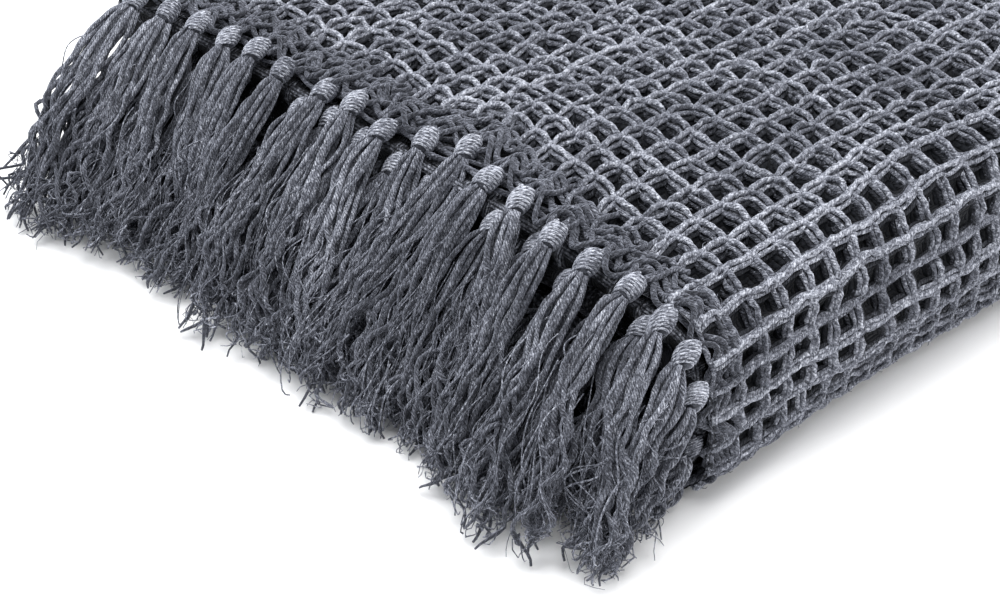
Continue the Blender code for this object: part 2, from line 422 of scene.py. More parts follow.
def group_ribs():
    """Parallel yarns that step down every wall of a waffle cell, from the cell UV."""
    tree, n, _, out = start_group("cell_ribs", [], ["Rib", "Depth", "Twist"])
    _, a, b = n.uv()
    parts = []
    for axis in (a, b):
        share = n.math("FRACT", axis)
        parts.append(n.math("MINIMUM", share, n.math("SUBTRACT", 1.0, share)))
    near = n.math("MINIMUM", *parts)
    far_axis = n.math("GREATER_THAN", parts[0], parts[1])
    run = n.math("ADD", n.math("MULTIPLY", a, far_axis),
                 n.math("MULTIPLY", b, n.math("SUBTRACT", 1.0, far_axis)))
    rib = n.math("ABSOLUTE", n.math("SINE", n.math("MULTIPLY", near, RIBS_PER_CELL * math.pi)))
    twist = n.math("SINE", n.math("ADD", n.math("MULTIPLY", run, 2 * math.pi * 5),
                                  n.math("MULTIPLY", near, 2 * math.pi * 4)))
    n.put(out["Rib"], n.math("POWER", rib, 0.6))
    # Depth is how far into the cell, and masks the painted shade of the pits
    n.put(out["Depth"], n.math("MULTIPLY", near, 2.0))
    n.put(out["Twist"], n.math("MULTIPLY_ADD", twist, 0.5, 0.5))
    return tree


MELANGE, TWIST, RIBS = group_melange(), group_twist(), group_ribs()
# washed charcoal, from the dark between fibres and painted shade to the palest fleck
COTTON = [(0.0, (0.006, 0.007, 0.010)), (0.25, (0.022, 0.024, 0.031)),
          (0.50, (0.088, 0.093, 0.113)), (0.75, (0.235, 0.246, 0.285)), (1.0, (0.52, 0.54, 0.60))]


def start_cotton(name, fleck):
    """A new material with the melange of the cotton in it."""
    material = bpy.data.materials.new(name)
    material.use_nodes = True
    n = Nodes(material.node_tree)
    melange = n.add("ShaderNodeGroup", node_tree=MELANGE)
    melange.inputs["Fleck mm"].default_value = fleck
    return material, n, material.node_tree.nodes["Principled BSDF"], melange.outputs


def add_relief(n, shader, height, strength, deep):
    bump = n.add("ShaderNodeBump")
    bump.inputs["Strength"].default_value = strength
    bump.inputs["Distance"].default_value = deep * MM
    n.put(bump.inputs["Height"], height)
    n.put(shader.inputs["Normal"], bump.outputs[0])


def cotton(name, lay, fleck, tone_and_shade, deep, plies=4.0, bump=0.9, end_shade=0.0, groove_shade=0.34,
           sheen=0.35, uneven_lay=0.5):
    """Twisted cotton yarn, read from each yarn's own UV.

    lay is the run of one turn of its plies, fleck the size of its melange and deep that of its
    relief, all in mm. tone_and_shade lifts or lowers the tone: the yarn's own tone, and painted
    light and shade in the lighter and darker copies of one yarn. end_shade is painted shade that
    takes from the tone towards the yarn's end, near the floor, and groove_shade is painted shade
    between the plies, with a little painted light on their crowns.
    """
    material, n, shader, melange = start_cotton(name, fleck)
    twist = n.add("ShaderNodeGroup", node_tree=TWIST)
    twist.inputs["Lay mm"].default_value = lay
    twist.inputs["Plies"].default_value = plies
    twist.inputs["Uneven"].default_value = uneven_lay
    ply, fibre, yarn = (twist.outputs[key] for key in ("Ply", "Fibre", "Yarn"))
    _, along, _ = n.uv()
    # painted shade in the grooves between the plies and growing towards the yarn's end; the
    # melange, fibre and per-yarn terms are the yarn's own tone
    tone = n.total(melange["Tone"], n.span(ply, 0.0, 1.0, -groove_shade, 0.24 * groove_shade),
                   n.span(fibre, 0.3, 0.7, -0.16, 0.16), n.span(yarn, 0.0, 1.0, -0.13, 0.10),
                   n.span(along, 35.0, 105.0, tone_and_shade, tone_and_shade - end_shade))
    n.put(shader.inputs["Base Color"], n.ramp(tone, COTTON))
    n.put(shader.inputs["Roughness"], n.span(fibre, 0.3, 0.7, 0.72, 0.95))
    height = n.math("MULTIPLY_ADD", fibre, 0.40, ply)
    height = n.math("MULTIPLY_ADD", melange["Fuzz"], 0.35, height)
    add_relief(n, shader, height, bump, deep)
    shader.inputs["Sheen Weight"].default_value = sheen
    shader.inputs["Sheen Roughness"].default_value = 0.55
    shader.inputs["Sheen Tint"].default_value = (0.80, 0.84, 1.0, 1.0)
    shader.inputs["Specular IOR Level"].default_value = 0.25
    return material


def pit_cloth():
    """The cloth inside the waffle cells: ribbed walls stepping down into pits darkened by painted
    shade.
    """
    material, n, shader, melange = start_cotton("waffle_pits", 0.6)
    ribs = n.add("ShaderNodeGroup", node_tree=RIBS).outputs
    # painted shade: darker in the grooves between the ribs and twists, and near black deep in the
    # pits
    tone = n.total(melange["Tone"], n.span(ribs["Rib"], 0.0, 1.0, -0.38, 0.04),
                   n.span(ribs["Twist"], 0.0, 1.0, -0.10, 0.06),
                   n.span(ribs["Depth"], 0.26, 0.48, -0.02, -0.80))
    n.put(shader.inputs["Base Color"], n.ramp(tone, COTTON))
    n.put(shader.inputs["Roughness"], n.span(melange["Fuzz"], 0.3, 0.7, 0.80, 0.98))
    height = n.math("MULTIPLY_ADD", ribs["Twist"], 0.35, ribs["Rib"])
    height = n.math("MULTIPLY_ADD", melange["Fuzz"], 0.5, height)
    add_relief(n, shader, height, 1.0, 0.9)
    shader.inputs["Sheen Weight"].default_value = 0.03
    shader.inputs["Sheen Roughness"].default_value = 0.6
    shader.inputs["Specular IOR Level"].default_value = 0.15
    return material


PITS = pit_cloth()
# ridge, wall and deep yarns are one yarn in three tones: painted light on the ridge tops, painted
# shade down the walls, darkest deep in the cells
RIDGE = cotton("ridge_yarn", lay=5.8, fleck=0.80, tone_and_shade=0.12, deep=0.38, groove_shade=0.22,
               uneven_lay=1.1)
WALL = cotton("wall_yarn", lay=5.8, fleck=0.80, tone_and_shade=0.05, deep=0.42, groove_shade=0.24,
              uneven_lay=1.1)
DEEP = cotton("deep_wall_yarn_shaded", lay=5.6, fleck=0.60, tone_and_shade=-0.38, deep=0.35, groove_shade=0.24,
              sheen=0.06)
LOOSE = cotton("loose_edge_yarn", lay=6.4, fleck=0.60, tone_and_shade=-0.22, deep=0.42)
# tassel strands darken towards their ends, near the floor: painted shade
STRAND = cotton("tassel_strand", lay=7.6, fleck=0.55, tone_and_shade=0.0, deep=0.45, plies=5.0,
                end_shade=0.27, groove_shade=0.42, uneven_lay=0.3)
# a darker copy of the tassel strand for strands lying under others: painted shade
SHADED = cotton("shaded_strand", lay=7.6, fleck=0.55, tone_and_shade=-0.15, deep=0.45, plies=5.0,
                end_shade=0.20, groove_shade=0.42, uneven_lay=0.3)
# a darker copy of the edge yarn for the net lying under the outer one: painted shade
SHADY_NET = cotton("shaded_edge_yarn", lay=8.0, fleck=0.50, tone_and_shade=-0.32, deep=0.42)
THREAD = cotton("fine_thread", lay=2.2, fleck=0.40, tone_and_shade=0.02, deep=0.12, plies=1.0, bump=0.6)
BINDING = cotton("knot_binding", lay=9.0, fleck=0.45, tone_and_shade=0.20, deep=0.20, plies=3.0,
                 bump=0.8)
# a dark core for the inside of each knot: painted shade
CORE = cotton("knot_core_shade", lay=9.0, fleck=0.45, tone_and_shade=-0.40, deep=0.20, plies=3.0, bump=0.8)

# ---- the waffle cloth
def cloth_piece(name, bm, materials=(PITS,)):
    obj = piece(name, bm, materials, weld=False)
    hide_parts("waffle_cloth")
    return obj


FOLD_U = np.pi * OUTER_T
U_END = RUN_LENGTH + FOLD_U
U_EDGE = -12.0  # the cloth reaches this far into the open band


def waffle_panel(u_range, s_range, per_cell):
    """One smooth panel of the outermost layer with its pits pressed in."""
    bm = new_mesh()
    u0, u1 = u_range
    s0, s1 = s_range

    def point(p, q):
        u, s = u0 + p * (u1 - u0), s0 + q * (s1 - s0)
        a, b = weave_cells(u, s)
        h = pit_height(a, b) + 0.35 * soft_noise(u, s, 21, 9.0)
        # past the last knots the cloth is flat and lies low
        tail = np.clip(-u / 3.0, 0, 1) * np.clip((S_TOP + CELL - s) / (2 * CELL), 0, 1)
        h = h * (1 - tail) - 3.4 * tail - edge_drop(u, s)
        return cloth_point(u, s, h), np.stack([a, b], -1)

    add_grid(bm, round((u1 - u0) / CELL * per_cell), round((s1 - s0) / CELL * per_cell), point)
    bmesh.ops.recalc_face_normals(bm, faces=bm.faces)
    return bm


def face_out(bm, outward):
    """Turns an open panel's faces so that its middle face looks along outward."""
    bm.faces.ensure_lookup_table()
    bm.normal_update()
    face = bm.faces[len(bm.faces) // 2]
    if face.normal.dot(Vector(outward)) < 0:
        bmesh.ops.reverse_faces(bm, faces=bm.faces)


# where each panel lies, its grid squares for every cell, and the way it faces
PANELS = {
    "cloth_top": ((U_EDGE, U_END), (0, S_TOP), 8, (0, 0, 1)),
    "cloth_big_fold": ((U_EDGE, U_END), (S_TOP, S_WRAP), 8, (0, -1, 0)),
    "cloth_underside": ((U_EDGE, U_END), (S_WRAP, S_BOTTOM), 5, (0, 0, -1)),
    "cloth_low_fold": ((U_EDGE, U_END), (S_BOTTOM, S_UNDER), 7, (0, 1, 0)),
    "cloth_inner_fold_ends": ((RUN_LENGTH - 2, U_END + 2), (S_UNDER, S_END), 7, (1, 0, 0)),
}
for name, (u_range, s_range, per_cell, outward) in PANELS.items():
    bm = waffle_panel(u_range, s_range, per_cell)
    face_out(bm, outward)
    cloth_piece(name, bm)


INNER_LAYERS = 7


def inner_layers():
    """The layers between the packets of the stack, pressed into one another's cells."""
    bm = new_mesh()
    for k in range(INNER_LAYERS):
        level = BOTTOM_Z + 0.5 * (k - 0.5) * PACKET

        def point(p, q, k=k, level=level):
            x, y = 6 + p * (RUN_LENGTH - 8), 4 + q * (RUN_WIDTH - 8)
            a, b = weave_cells(x + 5 * k, y)
            wave = 3.4 * np.sin(2 * np.pi * a) + 1.6 * np.sin(2 * np.pi * b)
            return settle(np.stack([x, y, level + wave], -1)), np.stack([a, b], -1)

        add_grid(bm, round(RUN_LENGTH / CELL * 3), round(RUN_WIDTH / CELL * 1.5), point)
    bmesh.ops.recalc_face_normals(bm, faces=bm.faces)
    return bm


between = cloth_piece("cloth_inner_layers", inner_layers())


def weave_yarns(across, first, last, start, stop, offset, low, rise, radius, per_cell, seed):
    """Parallel yarns of the waffle, one for every whole cell, each arching up over every cell.

    across is True for yarns that run across the throw. first and last bound the rows, start and
    stop the run of each yarn, and offset is the distance in cells from the row's ridge line.
    """
    rows = np.arange(math.ceil(first / CELL - offset - 1e-6),
                     math.floor(last / CELL - offset) + 1)
    line = (rows + offset)[:, None]
    n = round((stop - start) / CELL * per_cell) + 1
    run = np.linspace(start, stop, n)[None, :].repeat(len(rows), 0)
    side = line * CELL * np.ones((1, n))
    for _ in range(4):  # follows the drift of the cells
        cells = weave_cells(side, run) if across else weave_cells(run, side)
        side = side - (cells[0 if across else 1] - line) * CELL
    u, s = (side, run) if across else (run, side)
    cells = weave_cells(u, s)
    f = cells[1] if across else cells[0]
    whole = np.floor(f)
    tall = 0.60 + 0.80 * uneven(whole + 31 * across, rows[:, None], 7)
    arch = np.abs(np.sin(np.pi * f)) ** 1.15
    knobs = soft_noise(u * 1.3, s, seed + 3, 4.5)
    if offset:
        h = low + pit_height(*cells) - edge_drop(u, s) + 0.22 * knobs
    else:
        h = low + rise * tall * arch - edge_drop(u, s) + 0.30 * knobs
    stray = 1.7 * (uneven(whole, rows[:, None] + 17 * across, 8) - 0.5) * arch
    stray = stray + 0.42 * soft_noise(u, s * 1.2, seed + 5, 6.5)
    r = radius * (1 + 0.20 * soft_noise(u * 1.7, s * 1.5, seed, 4.0))
    if across:
        u = u + stray
    else:
        s = s + stray
    return cloth_point(u, s, h), r


# offset is in cells, low the height at the crossings or above the wall, rise that of the arch
YarnRow = namedtuple("YarnRow", "offset low rise radius per_cell sides")


def wall_pair(offset, low, radius):
    """A yarn down the wall on each side of a ridge."""
    return tuple(YarnRow(side * offset, low, 0, radius, 5, 4) for side in (1, -1))


RIDGE_SET = (YarnRow(offset=0.0, low=0.7, rise=1.45, radius=1.05, per_cell=8, sides=6),)
PLAIN_SET = (RIDGE_SET[0]._replace(per_cell=3, sides=4),)
FAR_WALL_SET = wall_pair(0.110, 0.30, 1.05)
WALL_SET = FAR_WALL_SET + wall_pair(0.200, -0.15, 0.95)
DEEP_FROM = 0.15  # yarns with a larger offset lie deep in the cell
ALONG, ACROSS = 0, 1


def fuzz(rng, paths, radii, count):
    """Short loose fibres that stand off the yarns, anywhere along them."""
    row = rng.integers(0, len(paths), count)
    at = rng.integers(1, paths.shape[1] - 1, count)
    way = paths[row, at + 1] - paths[row, at - 1]
    way /= np.linalg.norm(way, axis=1, keepdims=True) + 1e-9
    out = rng.normal(0, 1, (count, 3))
    out -= (out * way).sum(1, keepdims=True) * way
    out /= np.linalg.norm(out, axis=1, keepdims=True) + 1e-9
    curl = np.cross(way, out) * rng.uniform(-1, 1, (count, 1))
    start = paths[row, at] + 0.85 * radii[row, at][:, None] * out
    reach = rng.uniform(0.8, 2.6, (count, 1))
    far = start + reach * (0.45 * out + rng.choice([-1, 1], (count, 1)) * 0.8 * way
                           + 0.5 * curl)
    middle = (start + far) / 2 + 0.22 * reach * out
    hairs = np.stack([start, middle, far], 1)
    hairs[..., 2] = np.maximum(hairs[..., 2], 0.3)
    return hairs, np.array([0.13, 0.11, 0.05]) * rng.uniform(0.7, 1.3, (count, 1))


def weave_piece(name, yarn_set, ways, u_range, s_range, seed, lift=(0.25, -0.15),
                swell=(1.0, 1.4), hairs=0):
    """Ridge or wall yarns over one panel, with hairs loose fibres on each way of them.

    ways says which run: along, across or both. lift adds to the height of each way's yarns and
    swell multiplies their rise.
    """
    bm = new_mesh()
    number = 0
    for offset, low, rise, radius, per_cell, sides in yarn_set:
        for across in ways:
            span = (s_range, u_range) if across else (u_range, s_range)
            paths, radii = weave_yarns(across, *span[1], *span[0], offset, low + lift[across],
                                       rise * swell[across], radius, per_cell, seed)
            add_tubes(bm, paths, radii, int(abs(offset) > DEEP_FROM), sides, number)
            number += len(paths)
            if hairs and abs(offset) < DEEP_FROM:
                fine, thin = fuzz(np.random.default_rng(seed + number), paths, radii, hairs)
                add_tubes(bm, fine, thin, 2, 4, 300)
    # wall yarns and the darker deep yarns are shaded copies of the ridge yarn: painted shade
    yarns_by_depth_shade = [WALL, DEEP, THREAD] if yarn_set[0][0] else [RIDGE, RIDGE, THREAD]
    return piece(name, bm, yarns_by_depth_shade)


U_TOP = (1.0, U_END)
U_ALL = (U_EDGE + 1, U_END)
U_CAP = (RUN_LENGTH - 2, U_END + 1)
BOTH = (ALONG, ACROSS)
WRAP_SPAN = (S_TOP + 0.5, S_WRAP)
LOW_SPAN = (S_BOTTOM + 0.5, S_UNDER)
END_SPAN = (S_UNDER + 0.5, S_END)
# the yarns that lie on each panel
yarns = {
    "cloth_top": [
        weave_piece("ridge_yarns_along_top", RIDGE_SET, (ALONG,), U_TOP, (2, S_TOP), 31,
                    hairs=1700),
        weave_piece("ridge_yarns_across_top", RIDGE_SET, (ACROSS,), U_TOP, (0, S_TOP + 1), 32,
                    hairs=1700),
        weave_piece("wall_yarns_along_top", WALL_SET, (ALONG,), U_TOP, (3, S_TOP), 33, hairs=500),
        weave_piece("wall_yarns_across_top", WALL_SET, (ACROSS,), U_TOP, (0, S_TOP + 1), 34,
                    hairs=500)],
    "cloth_big_fold": [
        weave_piece("ridge_yarns_big_fold", RIDGE_SET, BOTH, U_ALL, WRAP_SPAN, 36,
                    lift=(0.6, -0.3), swell=(0.45, 1.0), hairs=700),
        weave_piece("wall_yarns_big_fold", WALL_SET, BOTH, U_ALL, WRAP_SPAN, 37,
                    lift=(0.3, -0.2), swell=(0.6, 1.0))],
    "cloth_underside": [
        weave_piece("ridge_yarns_underside", PLAIN_SET, BOTH, U_ALL, (S_WRAP + 0.5, S_BOTTOM),
                    39, lift=(-0.9, -1.0), swell=(0.35, 0.35))],
    "cloth_low_fold": [
        weave_piece("ridge_yarns_low_fold", RIDGE_SET, BOTH, U_ALL, LOW_SPAN, 40),
        weave_piece("wall_yarns_low_fold", FAR_WALL_SET, BOTH, U_ALL, LOW_SPAN, 41)],
    "cloth_inner_fold_ends": [
        weave_piece("ridge_yarns_fold_ends", RIDGE_SET, BOTH, U_CAP, END_SPAN, 42),
        weave_piece("wall_yarns_fold_ends", FAR_WALL_SET, BOTH, U_CAP, END_SPAN, 43)],
}

# ---- tassels
ROUND = 6.28  # a whole turn, for the start of a random wave


def spine_of(points, n):
    """n evenly spaced points of a smooth curve through Bezier handles, and its frame."""
    p = np.asarray(points, float)
    t = np.linspace(0, 1, 8 * n)[:, None]
    c = ((1 - t) ** 3 * p[0] + 3 * t * (1 - t) ** 2 * p[1]
         + 3 * t ** 2 * (1 - t) * p[2] + t ** 3 * p[3])
    d = np.concatenate([[0], np.cumsum(np.linalg.norm(np.diff(c, axis=0), axis=1))])
    even = np.linspace(0, d[-1], n)
    c = np.stack([np.interp(even, d, c[:, k]) for k in range(3)], -1)
    along = np.gradient(c, axis=0)
    along /= np.linalg.norm(along, axis=1, keepdims=True)
    across = np.array([0.0, 1.0, 0.0]) - along * along[:, 1:2]
    across /= np.linalg.norm(across, axis=1, keepdims=True)
    return c, along, across, np.cross(along, across), d[-1]


def waves(rng, count, t, length, wavelength):
    """Random gentle waves for each strand: (strands, points)."""
    out = np.zeros((count, len(t)))
    for _ in range(3):
        k = length / (wavelength * rng.uniform(0.7, 1.5, (count, 1)))
        out += np.sin(2 * np.pi * (k * t[None] + rng.uniform(0, 1, (count, 1)))) / 3
    return out * 1.6


def above_floor(paths, radii, ease=1.5):
    """Keeps strands resting on the floor, never through it."""
    low = radii + 0.15
    z = paths[..., 2]
    paths[..., 2] = low + np.log1p(np.exp((z - low) / ease)) * ease
    return paths


WIDTHS_AT = (0, 0.08, 0.18, 0.45, 0.75, 1.0)  # shares of a tassel where its widths are given
LOCKS = 4
SUNFLOWER = 2.399963  # the turn in radians that spreads points evenly over a disc


def strands(rng, spine, count, wide, thick, radius, loose):
    """Strand paths fanned round a spine in a few locks, waving more towards their ends."""
    c, along, across, normal, length = spine
    n = len(c)
    t = np.linspace(0, 1, n)
    j = np.arange(count)
    spread = np.sqrt((j + 0.5) / count)
    turn = j * SUNFLOWER + rng.uniform(0, ROUND)
    px = spread * np.cos(turn) + rng.normal(0, 0.10, count)
    py = spread * np.sin(turn) + rng.normal(0, 0.10, count)
    lock = np.floor((np.arctan2(py, px) / (2 * np.pi) + 0.5) * LOCKS).astype(int) % LOCKS
    ends = rng.uniform(0.80, 1.04, count)
    w, k = np.interp(t, WIDTHS_AT, wide), np.interp(t, WIDTHS_AT, thick)
    grow = loose * (0.35 + 3.1 * t ** 1.3)
    wild = np.where(rng.uniform(0, 1, (count, 1)) > 0.82, 2.3, 1.0)
    crimp_from = 0.15 + 2.1 * np.clip((t - 0.25) / 0.5, 0, 1)
    zig = rng.uniform(0.1, 1.0, (count, 1)) ** 1.2 * crimp_from

    side = (waves(rng, LOCKS, t, length, 60.0)[lock] * 1.15
            + waves(rng, count, t, length, 34.0) * 0.55 * wild)
    out = (waves(rng, LOCKS, t, length, 55.0)[lock] * 0.75
           + waves(rng, count, t, length, 30.0) * 0.50 * wild)
    x_off = px[:, None] * w + grow * side + zig * waves(rng, count, t, length, 15.0)
    y_off = py[:, None] * k + grow * out + zig * waves(rng, count, t, length, 13.0)
    at = t[None] * ends[:, None] * (n - 1)
    low = np.floor(at).astype(int).clip(0, n - 2)
    share = np.clip(at - low, 0, 1)[..., None]
    past = np.maximum(at - (n - 1), 0)[..., None] * length / (n - 1)

    def pick(values):
        return values[low] * (1 - share) + values[low + 1] * share

    paths = (pick(c) + pick(along) * past + pick(across) * x_off[..., None]
             + pick(normal) * y_off[..., None])
    taper = np.interp(t, [0, 0.05, 0.6, 0.9, 1.0], [0.8, 1.0, 1.0, 0.78, 0.4])
    size = radius * rng.uniform(0.85, 1.12, (count, 1))
    radii = size * (1 + 0.12 * waves(rng, count, t, length, 9.0)) * taper
    return above_floor(paths, radii), radii


def frays(rng, paths, each, n, reach):
    """Thin curling threads that come undone from the end of every strand."""
    back = -max(4, paths.shape[1] // 7)
    way = paths[:, -1] - paths[:, back]
    way /= np.linalg.norm(way, axis=1, keepdims=True) + 1e-9
    start, way = paths[:, back].repeat(each, 0), way.repeat(each, 0)
    count = len(start)
    lengths = reach * rng.uniform(0.5, 1.2, (count, 1, 1))
    t = np.linspace(0, 1, n)[None, :, None]
    off = rng.normal(0, 1, (count, 1, 3)) * np.array([0.22, 0.22, 0.12])
    curl = rng.normal(0, 1, (count, 2, 3)) * np.array([1.7, 1.7, 1.1])
    turn = rng.uniform(5, 12, (count, 1, 1)) * t + rng.uniform(0, ROUND, (count, 1, 1))
    out = (start[:, None] + way[:, None] * lengths * t + off * lengths * t ** 1.5
           + (curl[:, :1] * np.sin(turn) + curl[:, 1:] * np.cos(turn)) * np.minimum(t * 1.6, 1))
    taper = np.interp(t[0, :, 0], [0, 0.7, 1], [1.0, 0.8, 0.4])[None]
    rad = 0.36 * rng.uniform(0.55, 1.2, (count, 1)) * taper
    return above_floor(out, rad), rad


def wisps(rng, spine, count, n, wide):
    """Single curly threads that stray out of the bundle."""
    c, _, across, normal, _ = spine
    first = rng.uniform(0.15, 0.7, count)
    last = np.minimum(first + rng.uniform(0.2, 0.5, count), 1.04)
    t = first[:, None] + (last - first)[:, None] * np.linspace(0, 1, n)[None]
    s = np.linspace(0, 1, n)[None]
    at = np.clip(t * (len(c) - 1), 0, len(c) - 1)
    low = np.floor(at).astype(int).clip(0, len(c) - 2)
    share = (at - low)[..., None]
    base = c[low] * (1 - share) + c[low + 1] * share
    side = rng.uniform(-1, 1, (count, 1)) * wide
    x_off = side + rng.normal(0, 2.4, (count, 1)) * np.sin(
        s * rng.uniform(3, 8, (count, 1)) + rng.uniform(0, 6, (count, 1)))
    y_off = rng.uniform(1.5, 5.0, (count, 1)) * np.sin(np.pi * s)
    y_off = y_off + rng.normal(0, 1.2, (count, 1)) * np.sin(s * 7) + 2.5
    upwards = np.sign(normal[low][..., 2:3] + 1e-9)
    paths = base + across[low] * x_off[..., None] + normal[low] * y_off[..., None] * upwards
    rad = np.full((count, n), 0.17) * rng.uniform(0.7, 1.9, (count, 1))
    return above_floor(paths, rad), rad


STRAND_SLOT, BINDING_SLOT, THREAD_SLOT, CORE_SLOT = range(4)


def add_knot(bm, rng, centre, along, size):
    """A barrel of binding thread wound round the neck of a tassel."""
    along = np.asarray(along, float) / np.linalg.norm(along)
    across = np.cross(along, [0.3, 0.2, 1.0])
    across /= np.linalg.norm(across)
    up = np.cross(along, across)
    half, fat = 4.3 * size, 3.45 * size
    axes = np.stack([across * fat, up * fat, along * half, centre + SHIFT], 1) * MM
    core = Matrix([*axes.tolist(), (0, 0, 0, 1)])
    # a dark sphere inside the binding: painted shade where the inside of the knot shows
    made = bmesh.ops.create_uvsphere(bm, u_segments=14, v_segments=10, radius=1.0, matrix=core)
    faces = list(dict.fromkeys(f for v in made["verts"] for f in v.link_faces))
    bmesh.ops.recalc_face_normals(bm, faces=faces)
    for face in faces:
        face.smooth, face.material_index = True, CORE_SLOT
    turns, n = 7.2, 116
    q = np.linspace(0, 1, n)
    angle = 2 * np.pi * turns * q + rng.uniform(0, ROUND)
    s = (2 * q - 1) * 0.93 * half
    radius = fat * np.sqrt(np.maximum(1 - (s / (1.22 * half)) ** 2, 0.05)) + 0.15
    lean = 1.5 * size * np.cos(angle + rng.uniform(-0.5, 0.5))
    path = (centre + along * (s + lean)[:, None] + across * (np.cos(angle) * radius)[:, None]
            + up * (np.sin(angle) * radius)[:, None])
    add_tubes(bm, path[None], 0.56 * size, BINDING_SLOT, 6, int(rng.integers(0, 50)))


# half widths of a tassel at WIDTHS_AT, across it and through it
BROOM_WIDE = (2.4, 4.9, 5.6, 5.6, 7.2, 8.8)
BROOM_THICK = (2.4, 4.3, 4.8, 4.4, 4.2, 3.6)


def make_tassel(name, handles, seed, count, yarn, knot=None, wide=BROOM_WIDE, thick=BROOM_THICK,
                rings=44, sides=6, loose=1.0, knot_size=1.0):
    """One tassel, or a packed group of them where knot is None, for the CAD node called name."""
    rng = np.random.default_rng(seed)
    spine = spine_of(handles, rings)
    bm = new_mesh()
    paths, radii = strands(rng, spine, count, wide, thick, 1.0, loose)
    add_tubes(bm, paths, radii, STRAND_SLOT, sides)
    threads, thin = frays(rng, paths, each=3, n=10, reach=8.5)
    add_tubes(bm, threads, thin, THREAD_SLOT, 4, 64)
    stray, fine = wisps(rng, spine, 13, 15, max(wide) * 0.9)
    add_tubes(bm, stray, fine, THREAD_SLOT, 4, 200)
    if knot is not None:
        add_knot(bm, rng, knot, spine[1][0], knot_size)
    obj = piece(name + "_yarns", bm, [yarn, BINDING, THREAD, CORE])
    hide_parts(name)
    return obj


UPPERS = 16
TASSEL_PITCH = RUN_WIDTH / UPPERS
tassels = []


def on_edge(x, y, z):
    """A knot's place, moved with the loose edge and the settling stack."""
    moved = np.array([x + edge_shift(y), y, z])
    return settle(moved[None])[0]


# height of the knots, their place in the pitch, reach, extra fullness of the last two tassels,
# and the strands of the last four, the first of which every other tassel has
EdgeRow = namedtuple("EdgeRow", "name z shift reach fuller counts yarn")
# the lower row takes the darker copy of the strand: painted shade under the upper row
EDGE_ROWS = (EdgeRow("upper", 78.6, 0.60, 55.0, 0.35, (13, 13, 17, 22), STRAND),
             EdgeRow("lower", 67.0, 0.10, 46.0, 0.80, (13, 13, 24, 30), SHADED))


def edge_tassel(i, row):
    """One of the knotted tassels along the top packet's edge, i counted from the big fold."""
    upper = row.name == "upper"
    rng = np.random.default_rng(500 + 40 * i + upper)
    y = TASSEL_PITCH * (i + row.shift)
    knot = on_edge(-4.6 + rng.uniform(-1.2, 2.2), y + rng.uniform(-2.4, 2.4),
                   row.z + rng.uniform(-1.8, 1.4))
    if not upper:
        knot = knot + np.array([1.0 - 0.55 * edge_shift(y), 0, 0])
    # tassels near the big fold lean round it, and those at the far end lean back and reach out
    lean = -15.0 * math.exp(-(y / 38) ** 2) - 3.0 + rng.uniform(-13, 13)
    lean = lean + (6.0 - lean) / (1 + math.exp(-(y - 252) / 6))
    far = 12.0 / (1 + math.exp(-(y - 245) / 12))
    tip_x = -row.reach - far - rng.uniform(-13, 11) + 0.3 * (knot[0] + 5)
    belly = rng.uniform(-5, 5)
    first = knot + np.array([-3.0, 0, -2.6])
    handles = [first, first + np.array([-13 - belly, lean * rng.uniform(-0.3, 0.4), -9.0]),
               (tip_x * 0.84, knot[1] + lean * rng.uniform(0.4, 1.2), 32.0 + belly),
               (tip_x, knot[1] + lean, 3.0)]
    fuller = rng.uniform(0.86, 1.15) + (row.fuller if i >= UPPERS - 2 else 0)
    return make_tassel(f"tassel_{row.name}_{i + 1:02d}", handles, 900 + 2 * i + (not upper),
                       row.counts[max(0, i - UPPERS + len(row.counts))], row.yarn, knot,
                       wide=tuple(fuller * v for v in BROOM_WIDE))


for i in range(UPPERS):
    for row in EDGE_ROWS:
        tassels.append(edge_tassel(i, row))

# knot place and how far it is moved out and aside, the tip's y, strands and knot size
CORNERS = ((-7.9, 79.3, 0, 0, -22.0, 13, 1), (-17.7, 71.0, 0.5, 0, -24.0, 12, 1),
           (-22.8, 54.6, 1, 1, -20.0, 11, 0.95), (-22.8, 28.2, 6, 6, -12.0, 8, 0.8),
           (-17.7, 11.8, 7, 8, -8.0, 6, 0.7))
for i, (y, z, out, aside, tip_y, count, knot_size) in enumerate(CORNERS):
    knot = on_edge(-5.1 + out, y + aside, z)
    reach = 84 * (0.06 + 0.88 * z / STACK) * 0.66
    first = knot + np.array([-3.5, 0, -2.5])
    handles = [first, first + np.array([-0.2 * reach, -3.0, -min(8.0, 0.3 * z)]),
               (-0.85 * reach, tip_y * 0.9, 0.42 * z), (-reach, tip_y, 3.0)]
    tassels.append(make_tassel(f"tassel_corner_{i + 1}", handles, 760 + i, count, STRAND, knot,
                               wide=tuple(0.8 * v for v in BROOM_WIDE), knot_size=knot_size))

# the tassels of the packets below, in groups that have no knots of their own
GROUPS = 8
GROUP = RUN_WIDTH / GROUPS
GROUP_WIDE = (GROUP / 2,) * 3 + (GROUP / 2 + 1, GROUP / 2 + 2, GROUP / 2 + 2)
for i in range(GROUPS):
    y = GROUP * (i + 0.5)
    far = (0, 6, 14)[max(0, i - 5)]
    for level, run, seed, count, thick, rings in (
            ("middle", [(-3, y, 41), (-18, y, 38), (-40 - far, y, 24), (-52 - far, y - 3, 4)],
             820, 44 if i == GROUPS - 1 else 28, (4, 8, 10, 9, 7, 5), 26),
            ("bottom", [(-3, y, 5), (-14, y, 5), (-28, y, 4), (-42, y - 2, 3)],
             840, 26, (3, 4, 5, 5, 4, 3), 20)):
        # these groups take the darker copy of the strand: painted shade under the tassels above
        tassels.append(make_tassel(
            f"tassels_{level}_{i + 1}", run, seed + i, count, SHADED, wide=GROUP_WIDE,
            thick=thick, rings=rings, sides=4, loose=1.4))

